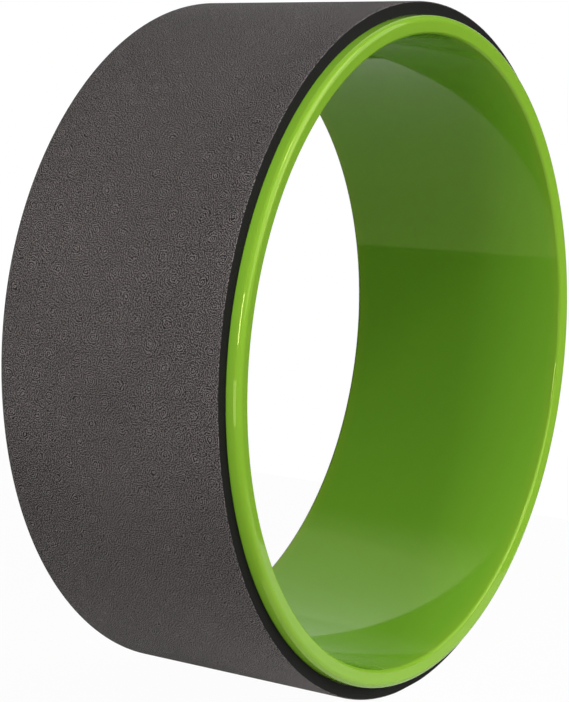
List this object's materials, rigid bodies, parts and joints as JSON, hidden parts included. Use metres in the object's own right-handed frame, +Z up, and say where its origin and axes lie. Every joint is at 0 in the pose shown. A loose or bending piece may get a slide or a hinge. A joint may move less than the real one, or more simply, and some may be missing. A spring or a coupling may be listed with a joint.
{
  "type": "yoga wheel",
  "caption": "Open plastic ring with rounded lips and a foam grip pad wrapped round its tread, rolled under the back or limbs for stretching and balance work.",
  "frame": {"origin": "centre of the wheel, on its axis and half way across its width", "axes": "+Y along the wheel's axis; +Z up with the wheel standing on its tread; +X the way it rolls"},
  "size_m": [0.33, 0.128, 0.3295],
  "materials": {
    "rim_plastic": "glossy moulded lime-green ABS",
    "adhesive": "dull translucent film",
    "pad_foam": "matt embossed charcoal foam"
  },
  "bodies": {
    "root": {"rim_ring": "rim_plastic", "adhesive_film": "adhesive", "foam_pad": "pad_foam"}
  },
  "joints": []
}
